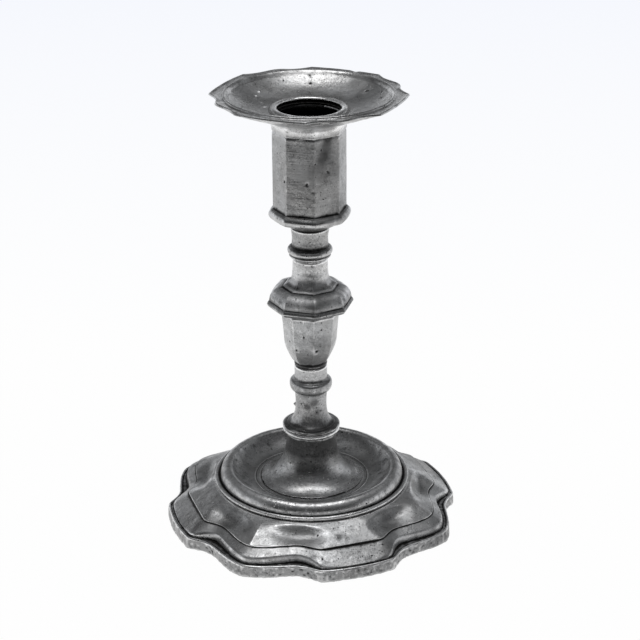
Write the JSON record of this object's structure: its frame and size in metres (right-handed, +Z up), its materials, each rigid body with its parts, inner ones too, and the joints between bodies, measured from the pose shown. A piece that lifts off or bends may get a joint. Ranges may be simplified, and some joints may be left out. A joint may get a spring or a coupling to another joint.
{
  "type": "candlestick",
  "caption": "Small antique cast pewter candlestick with a scalloped stepped foot, round well, knopped octagonal stem, octagonal candle socket and scalloped drip pan",
  "frame": {"origin": "middle of the foot's resting plane", "axes": "+Z up along the stem, the front of the foot faces -Y, +X to the viewer's right"},
  "size_m": [0.1062, 0.1062, 0.1604],
  "materials": {
    "pewter": "satin",
    "solder": "matte"
  },
  "bodies": {
    "root": {"foot": "pewter", "well_dish": "pewter", "pedestal": "pewter", "lower_stem": "pewter", "baluster": "pewter", "knop": "pewter", "upper_neck": "pewter", "candle_socket": "pewter", "drip_pan": "pewter", "foot_solder": "solder", "pedestal_solder": "solder", "collar_solder": "solder", "baluster_solder": "solder", "knop_solder": "solder", "neck_solder": "solder", "socket_solder": "solder", "pan_solder": "solder"}
  },
  "joints": []
}
